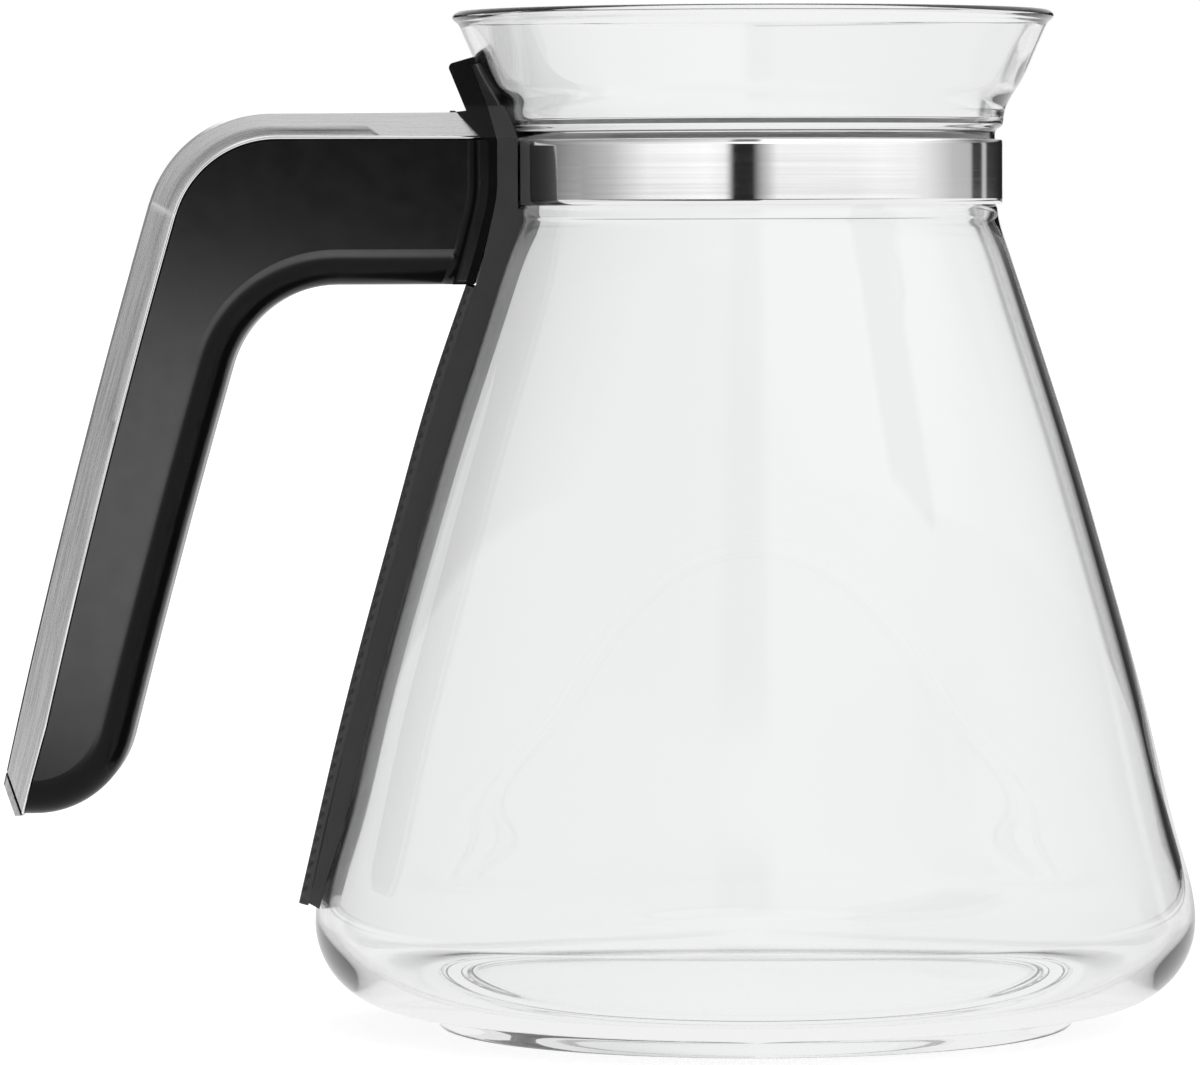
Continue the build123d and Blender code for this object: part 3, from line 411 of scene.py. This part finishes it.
def pad_section(half, fine):
    """Points (y, depth, across, side, front) over the pad's face and down its two rounded edges. across
    is the way from the middle measured on the face, and (side, front) is the direction it faces."""
    flat = half - PAD_EDGE
    points = []
    count = int(2 * STRIP_HALF / fine)
    for k in range(count + 1):
        y = flat * (2 * k / count - 1)
        points.append((y, 0.0, y, 0.0, -1.0))
    corner = []
    for turn in np.linspace(0, pi / 2, 9)[1:]:
        corner.append((sin(turn), PAD_EDGE * (1 - cos(turn)), PAD_EDGE * turn, cos(turn)))
    right = [(flat + PAD_EDGE * s, d, flat + w, s, -c) for s, d, w, c in corner]
    left = [(-y, d, -w, -s, c) for y, d, w, s, c in reversed(right)]
    return left + points + right


def dimple(along, across):
    """How deep the face is pressed in at a place measured along and across the pad."""
    offset_a = along - DIMPLE_PITCH * round(along / DIMPLE_PITCH)
    offset_b = across - DIMPLE_PITCH * round(across / DIMPLE_PITCH)
    away = (offset_a ** 2 + offset_b ** 2) / DIMPLE_R ** 2
    return DIMPLE_DEEP * (1 - away) ** 0.5 if away < 1 else 0.0


def knuckle_pad():
    first, last = np.subtract(PAD_LINE[1], PAD_LINE[0]), np.subtract(PAD_LINE[-1], PAD_LINE[-2])
    fine = DIMPLE_PITCH / DIMPLE_GRID
    smooth = np.array(spline(PAD_LINE, first, last, 0.5))
    length = np.linalg.norm(np.diff(smooth, axis=0), axis=1).sum()
    spots = even_points(smooth, int(length / fine) + 1)
    ahead = np.gradient(spots, axis=0)
    ahead /= np.linalg.norm(ahead, axis=1)[:, None]
    rings = []
    for i, (spot, way) in enumerate(zip(spots, ahead)):
        out = np.array([-way[1], way[0]])
        along = i * length / (len(spots) - 1)
        near_end = min(along, length - along)
        ring = []
        for y, depth, across, side, front in pad_section(pad_half(spot[1]), fine):
            press = dimple(along - DIMPLE_SHIFT, across) if near_end > PLAIN_END else 0.0
            x, z = spot - out * (depth + press * abs(front))
            ring.append((x, y - side * press, z))
        back = spot - out * PAD_THICK
        ring.append((back[0], ring[-1][1], back[1]))
        ring.append((back[0], ring[0][1], back[1]))
        rings.append(ring)
    pad = tube_of_rings("pad", rings, sharp=50)
    pad.data.materials.append(moulded_plastic("pad_rubber", 0.030, 0.040, 0.42, 0.55, gloss=0.5))
    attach(pad, "root")
    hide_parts("knuckle_pad")


# ---- the metal trim on the handle's top and back ------------------------------------------------
TRIM_TOP = 156.1
TRIM_LOW_Z = 151.2      # lower edge of the trim along the arm
TRIM_START = (-50.6, -45.95)
TRIM_DEEP = 5.15
TRIM_DEEP_FOOT = 4.3
TAPER_Z = 52.0
FOOT_Z = 36.9
OUTER_R = 21.5
INNER_R = 17.6
SHEET = 0.8
CUT_Z = 42.4            # the trim's slanted end: where it starts on the back, how steep, how far up
CUT_FALL = 71.0
CUT_SHIFT = 1.25
LEAN = 14.6
BACK_AT = (-112.6, 104.0)       # the leg's back line passes here, with this slope and this bend
BACK_SLOPE = 0.2656
BACK_BEND = 0.00037


def back_x(z, depth=0.0):
    """The leg's back line at height z, moved inwards by depth."""
    rise = z - BACK_AT[1]
    return BACK_AT[0] + BACK_SLOPE * rise + BACK_BEND * rise * rise + depth / cos(radians(LEAN))


def above_cut(point):
    """How far a point lies above the trim's slanted end."""
    fall = radians(CUT_FALL)
    return (point[0] - back_x(CUT_Z)) * sin(fall) + (point[1] - CUT_Z) * cos(fall) - CUT_SHIFT


def cut_line(points):
    """The points of a line that runs down the leg, ended where the slanted cut meets it."""
    kept = [points[0]]
    for a, b in zip(points, points[1:]):
        high, low = above_cut(a), above_cut(b)
        if low <= 0:
            share = high / (high - low)
            kept.append(tuple(np.array(a) + share * (np.array(b) - np.array(a))))
            return kept
        kept.append(b)
    return kept


def trim_edge(top, start_x, depth, foot_depth, radius):
    """One long edge of the trim from its upper end to its foot, as three runs of points: the arm,
    the rounded corner and the leg."""
    corner = (back_x(top, depth), top)
    below = (back_x(top - 20, depth), top - 20)
    arc = rounded_corner((start_x, top), corner, below, radius, 24)
    leg_start = arc[-1][1]
    leg = [(back_x(z, depth), z) for z in np.linspace(leg_start, TAPER_Z, 40)]
    foot = (back_x(FOOT_Z, foot_depth), FOOT_Z)
    leg += [tuple(p) for p in np.linspace(leg[-1], foot, 16)[1:]]
    return [(start_x, top), arc[0]], arc, cut_line(leg)


BEAD_R = 0.4
BEAD_Y = 11.06
CHAMFER = ((0.0, 10.35), (0.42, 10.88))         # (depth, y) of its two edges
SIDE_Y = (10.99, 11.08)         # the side face stands out slightly more towards the grip
INSIDE_Y = 10.33
LIP = 0.02              # how far the sheet ends short of the full depth


def trim_section(deep):
    """Half the trim's section as (depth, y, shine): 0 for the satin faces, 1 for the polished edges. A
    chamfer runs along its outer edge, and a bead lies beside the grip."""
    half = [(0.0, 0.0, 0), (0.0, 5.0, 0)]
    half += [(*corner, 1) for corner in CHAMFER]
    half += [(deep * 0.5, SIDE_Y[0], 0), (deep - 2.3 * BEAD_R, SIDE_Y[1], 0)]
    for turn in np.linspace(0, pi, 11):
        half.append((deep - BEAD_R * (1.15 + cos(turn)), BEAD_Y + BEAD_R * sin(turn), 1))
    half += [(deep - LIP, 10.8, 0), (deep - LIP, INSIDE_Y, 0), (SHEET, INSIDE_Y, 0), (SHEET, 0.0, 0)]
    return half


def back_trim(satin, polished):
    outer = trim_edge(TRIM_TOP, TRIM_START[0], 0.0, 0.0, OUTER_R)
    inner = trim_edge(TRIM_LOW_Z, TRIM_START[1], TRIM_DEEP, TRIM_DEEP_FOOT, INNER_R)
    counts = (24, 40, 90)
    outer_line = np.concatenate([even_points(run, n) for run, n in zip(outer, counts)])
    inner_line = np.concatenate([even_points(run, n) for run, n in zip(inner, counts)])
    rings = []
    for i, (near, far) in enumerate(zip(outer_line, inner_line)):
        if i and np.allclose(near, outer_line[i - 1]):
            continue
        deep = np.linalg.norm(far - near)
        half = [(near + (far - near) * d / deep, y) for d, y, _ in trim_section(deep)]
        ring = [(p[0], y, p[1]) for p, y in half]
        ring += [(p[0], -y, p[1]) for p, y in reversed(half[1:-1])]
        rings.append(ring)
    shine = [s for _, _, s in trim_section(TRIM_DEEP)]
    strips = [1 if a and b else 0 for a, b in zip(shine, shine[1:])]
    trim = tube_of_rings("trim", rings, sharp=24, shades=strips + strips[::-1])
    trim.data.materials.append(satin)
    trim.data.materials.append(polished)
    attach(trim, "root")
    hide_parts("back_trim")


# ---- materials for the pieces that keep their CAD shape -----------------------------------------
def finish_cad_nodes():
    plated = plated_steel()
    rubber = moulded_plastic("soft_rubber", 0.03, 0.05, 0.55, 0.7, gloss=0.4)
    black = moulded_plastic("black_plastic", 0.0015, 0.0025, 0.20, 0.24, gloss=0.16, grain=0.00001)
    spine = moulded_plastic("spine_plastic", 0.030, 0.038, 0.30, 0.38, gloss=0.4)
    finishes = {
        "band_liner": moulded_plastic("liner_rubber", 0.35, 0.45, 0.4, 0.6, gloss=0.4),
        "band_yoke": plated,
        "yoke_pin": plated,
        "clamp_screw": plated,
        "clamp_washer": plated,
        "spine_backing": spine,
        "spine_cover": black,
        "cover_screws": plated,
        "upper_bumpers": rubber,
        "lower_bumpers": rubber,
        "grip_shell": black,
        "grip_core": cast_metal(),
        "core_screws": plated,
        "trim_carrier": black,
        "carrier_screws": plated,
        "trim_end_cap": satin_cap(),
    }
    for node, finish in finishes.items():
        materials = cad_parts[node].data.materials
        for i in range(len(materials)):
            materials[i] = finish


# ---- studio -------------------------------------------------------------------------------------
def mapped(nodes, links, source, start, end, low, high):
    node = nodes.new("ShaderNodeMapRange")
    node.interpolation_type = "SMOOTHSTEP"
    node.inputs["From Min"].default_value = start
    node.inputs["From Max"].default_value = end
    node.inputs["To Min"].default_value = low
    node.inputs["To Max"].default_value = high
    links.new(source, node.inputs["Value"])
    return node.outputs["Result"]


def arithmetic(nodes, links, operation, first, second=None):
    node = nodes.new("ShaderNodeMath")
    node.operation = operation
    for socket, value in zip(node.inputs, (first, second)):
        if isinstance(value, (int, float)):
            socket.default_value = value
        elif value is not None:
            links.new(value, socket)
    return node.outputs["Value"]


def blend(nodes, links, share, first, second):
    """A number between first and second, by share."""
    node = nodes.new("ShaderNodeMix")
    links.new(share, node.inputs["Factor"])
    for socket, value in zip((node.inputs["A"], node.inputs["B"]), (first, second)):
        if isinstance(value, (int, float)):
            socket.default_value = value
        else:
            links.new(value, socket)
    return node.outputs["Result"]


def level_ramp(nodes, links, share, stops, first=-180, last=180):
    """Brightness by compass angle. share runs from 0 at the angle first to 1 at the angle last, and
    stops are (degrees, level)."""
    node = nodes.new("ShaderNodeValToRGB")
    links.new(share, node.inputs["Fac"])
    ramp = node.color_ramp
    ramp.elements.remove(ramp.elements[0])
    for i, (degrees, level) in enumerate(stops):
        at = (degrees - first) / (last - first)
        stop = ramp.elements[0] if i == 0 else ramp.elements.new(at)
        stop.position = at
        stop.color = (level, level, level, 1)
    return node.outputs["Color"]


TABLE_HALF = 0.5        # the white table's half width near the object, and that of the strip beyond it
SWEEP_HALF = 0.08
TABLE_BACK = (1.2, 2.6)         # between these distances the table narrows to the strip
TABLE_FRONT = (-0.5, -1.15)     # towards the camera the white table ends here: left, and right

SHADE = (0.82, 1.0)             # the backdrop's level to the left and to the right
SHADE_SLOPES = (-0.096, 0.026)  # it changes between these, in metres aside per metre behind
NEAREST = 0.3                   # metres: what is closer than this counts as this far behind

# How bright the backdrop is by the angle off straight behind the object, in degrees.
BACKDROP = [
    (0, 0.91), (11, 0.91), (12.2, 0.12), (13.2, 0.14), (14.2, 0.4), (15.4, 0.4), (17, 0.14), (19, 0.1),
    (21, 0.04), (25, 0.04), (28, 0.5), (32, 0.9), (180, 0.91),
]


def backdrop(nodes, links, aside, behind):
    """The backdrop's brightness in the direction that lies aside and behind, and a little darker to
    the left."""
    width = arithmetic(nodes, links, "ABSOLUTE", aside)
    off = arithmetic(nodes, links, "ARCTAN2", width, behind)
    level = level_ramp(nodes, links, arithmetic(nodes, links, "DIVIDE", off, pi), BACKDROP, 0, 180)
    distance = arithmetic(nodes, links, "ABSOLUTE", behind)
    away = arithmetic(nodes, links, "MAXIMUM", distance, NEAREST)
    slope = arithmetic(nodes, links, "DIVIDE", aside, away)
    shade = mapped(nodes, links, slope, *SHADE_SLOPES, *SHADE)
    return arithmetic(nodes, links, "MULTIPLY", level, shade)


FLOOR_REACH = 15000
FLOOR_GLOW = 0.8
FLOOR_GREY = 0.45
OFF_TABLE = 0.04        # brightness beyond the table's front edge


def floor():
    """A pale floor. The camera sees it evenly lit. In glass and gloss it is a white table top, with the
    dark studio beyond its sides and its front edge."""
    reach = FLOOR_REACH
    corners = [(-reach, -reach, 0), (reach, -reach, 0), (reach, reach, 0), (-reach, reach, 0)]
    plane = make_object("floor", corners, [[0, 1, 2, 3]])
    material = bpy.data.materials.new("floor_white")
    material.use_nodes = True
    nodes, links = material.node_tree.nodes, material.node_tree.links
    nodes.clear()
    place = nodes.new("ShaderNodeTexCoord")
    parts = nodes.new("ShaderNodeSeparateXYZ")
    links.new(place.outputs["Object"], parts.inputs["Vector"])
    sign = arithmetic(nodes, links, "SIGN", parts.outputs["X"])
    width = arithmetic(nodes, links, "ABSOLUTE", parts.outputs["X"])
    half = mapped(nodes, links, parts.outputs["Y"], *TABLE_BACK, TABLE_HALF, SWEEP_HALF)
    beyond = arithmetic(nodes, links, "MAXIMUM", arithmetic(nodes, links, "SUBTRACT", width, half), 0)
    aside = arithmetic(nodes, links, "MULTIPLY", beyond, sign)
    level = backdrop(nodes, links, aside, parts.outputs["Y"])
    edge = mapped(nodes, links, parts.outputs["X"], 0.0, 0.08, *TABLE_FRONT)
    inwards = arithmetic(nodes, links, "SUBTRACT", parts.outputs["Y"], edge)
    front = mapped(nodes, links, inwards, -0.1, 0.0, OFF_TABLE, 1.0)
    path = nodes.new("ShaderNodeLightPath")
    lit = arithmetic(nodes, links, "MAXIMUM", front, path.outputs["Is Transmission Ray"])
    level = arithmetic(nodes, links, "MULTIPLY", level, lit)
    reflected = nodes.new("ShaderNodeEmission")
    links.new(level, reflected.inputs["Strength"])
    seen_glow = nodes.new("ShaderNodeEmission")
    seen_glow.inputs["Strength"].default_value = FLOOR_GLOW
    seen_matte = nodes.new("ShaderNodeBsdfDiffuse")
    seen_matte.inputs["Color"].default_value = (*grey(FLOOR_GREY), 1)
    seen = nodes.new("ShaderNodeAddShader")
    links.new(seen_glow.outputs["Emission"], seen.inputs[0])
    links.new(seen_matte.outputs["BSDF"], seen.inputs[1])
    choose = nodes.new("ShaderNodeMixShader")
    links.new(path.outputs["Is Camera Ray"], choose.inputs["Fac"])
    links.new(reflected.outputs["Emission"], choose.inputs[1])
    links.new(seen.outputs["Shader"], choose.inputs[2])
    output = nodes.new("ShaderNodeOutputMaterial")
    links.new(choose.outputs["Shader"], output.inputs["Surface"])
    plane.data.materials.append(material)


# What gloss sees, by compass angle from the camera's side, as (degrees, level): at table level, above
# and below that, and higher up. The pairs after them are the heights of direction, from 0 at the
# horizon to 1 straight up, over which one passes into the next.
SCREENS = [
    (-180, 0.86), (-170, 0.86), (-167, 0.04), (-110, 0.04), (-104, 0.2), (-86, 0.36), (-70, 0.55),
    (-50, 1.0), (-22, 1.1), (-13.5, 1.0), (-9.8, 0.02), (-1.4, 0.02), (2.0, 0.4), (5.5, 0.65),
    (10, 1.0), (60, 1.05), (78, 0.95), (90, 0.72), (104, 0.5), (118, 0.46), (121, 0.03), (129, 0.03),
    (131, 0.5), (134, 0.5), (136, 0.04), (168, 0.01), (170, 0.86), (180, 0.86),
]
SOFTER = [
    (-180, 0.86), (-150, 0.5), (-125, 0.12), (-100, 0.3), (-60, 0.7), (-32, 0.9), (-12, 1.0),
    (-6, 1.4), (12, 1.4), (30, 1.0), (80, 1.0), (110, 0.5), (130, 0.15), (155, 0.5), (180, 0.86),
]
UPPER = [
    (-180, 0.86), (-150, 0.5), (-100, 0.3), (-60, 0.5), (-14, 0.8), (-10, 0.2), (1, 0.2), (5, 1.4),
    (80, 1.5), (110, 1.0), (150, 0.7), (180, 0.86),
]
SCREENS_END = (0.10, 0.17)
UPPER_START = (0.36, 0.46)
OVERHEAD_START = (0.75, 0.92)
OVERHEAD = 1.1


def studio_world():
    """Plain white for the camera. Gloss sees soft screens with dark gaps between them at table level,
    and an even, soft light above. Glass sees white, with a dark strip each side of the backdrop."""
    world = bpy.data.worlds.new("studio")
    bpy.context.scene.world = world
    world.use_nodes = True
    nodes, links = world.node_tree.nodes, world.node_tree.links
    nodes.clear()
    place = nodes.new("ShaderNodeTexCoord")
    parts = nodes.new("ShaderNodeSeparateXYZ")
    links.new(place.outputs["Generated"], parts.inputs["Vector"])
    towards = arithmetic(nodes, links, "MULTIPLY", parts.outputs["Y"], -1)
    angle = arithmetic(nodes, links, "ARCTAN2", parts.outputs["X"], towards)
    turn_node = nodes.new("ShaderNodeMapRange")
    turn_node.inputs["From Min"].default_value = -pi
    turn_node.inputs["From Max"].default_value = pi
    links.new(angle, turn_node.inputs["Value"])
    turn = turn_node.outputs["Result"]
    screens = level_ramp(nodes, links, turn, SCREENS)
    softer = level_ramp(nodes, links, turn, SOFTER)
    upper = level_ramp(nodes, links, turn, UPPER)
    through = backdrop(nodes, links, parts.outputs["X"], parts.outputs["Y"])
    height = arithmetic(nodes, links, "ABSOLUTE", parts.outputs["Z"])
    off_level = mapped(nodes, links, height, *SCREENS_END, 0.0, 1.0)
    around = blend(nodes, links, off_level, screens, softer)
    higher = mapped(nodes, links, parts.outputs["Z"], *UPPER_START, 0.0, 1.0)
    above = blend(nodes, links, higher, around, upper)
    overhead = mapped(nodes, links, parts.outputs["Z"], *OVERHEAD_START, 0.0, 1.0)
    gloss = blend(nodes, links, overhead, above, OVERHEAD)
    path = nodes.new("ShaderNodeLightPath")
    lit = blend(nodes, links, path.outputs["Is Transmission Ray"], gloss, through)
    seen = blend(nodes, links, path.outputs["Is Camera Ray"], lit, 1.0)
    light = nodes.new("ShaderNodeBackground")
    light.inputs["Color"].default_value = (1, 1, 1, 1)
    links.new(seen, light.inputs["Strength"])
    output = nodes.new("ShaderNodeOutputWorld")
    links.new(light.outputs["Background"], output.inputs["Surface"])


LAMP_SIZE = (0.110, 0.095)
LAMP_POWER = 0.27
LAMP_PLACE = (-0.104, -0.25, 0.072)
LAMP_LEAN = -13


def leg_lamp():
    """A small lamp in front of the handle's leg that lights the grip alone."""
    data = bpy.data.lights.new("leg_lamp", "AREA")
    data.shape = "RECTANGLE"
    data.size, data.size_y = LAMP_SIZE
    data.energy = LAMP_POWER
    lamp = bpy.data.objects.new("leg_lamp", data)
    bpy.context.scene.collection.objects.link(lamp)
    upright = Matrix.Rotation(radians(90), 4, "X")
    lean = Matrix.Rotation(radians(LAMP_LEAN), 4, "Z")
    lamp.matrix_world = Matrix.Translation(LAMP_PLACE) @ upright @ lean
    lamp.visible_camera = False
    only = bpy.data.collections.new("leg_lamp_lights")
    only.objects.link(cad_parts["grip_shell"])
    lamp.light_linking.receiver_collection = only


CAMERA_DISTANCE = 1.30
CAMERA_HEIGHT = 0.141
CAMERA_X = -0.0263
AIM_HEIGHT = 0.0842
CAMERA_ROLL = radians(-0.19)
LENS = 228.6


def camera():
    data = bpy.data.cameras.new("camera")
    data.lens = LENS
    data.sensor_width = 36.0
    data.clip_end = 100.0
    eye = bpy.data.objects.new("camera", data)
    bpy.context.scene.collection.objects.link(eye)
    place = Vector((CAMERA_X, -CAMERA_DISTANCE, CAMERA_HEIGHT))
    aim = Vector((CAMERA_X, 0, AIM_HEIGHT))
    look = (aim - place).to_track_quat("-Z", "Y").to_matrix().to_4x4()
    eye.matrix_world = Matrix.Translation(place) @ look @ Matrix.Rotation(CAMERA_ROLL, 4, "Z")
    bpy.context.scene.camera = eye


glass_vessel()
neck_band()
knuckle_pad()
back_trim(satin_steel(), polished_steel("polished_edge", (1.0, 30.0, 1.0)))
finish_cad_nodes()
floor()
studio_world()
leg_lamp()
camera()
bpy.context.scene.view_settings.view_transform = "Standard"
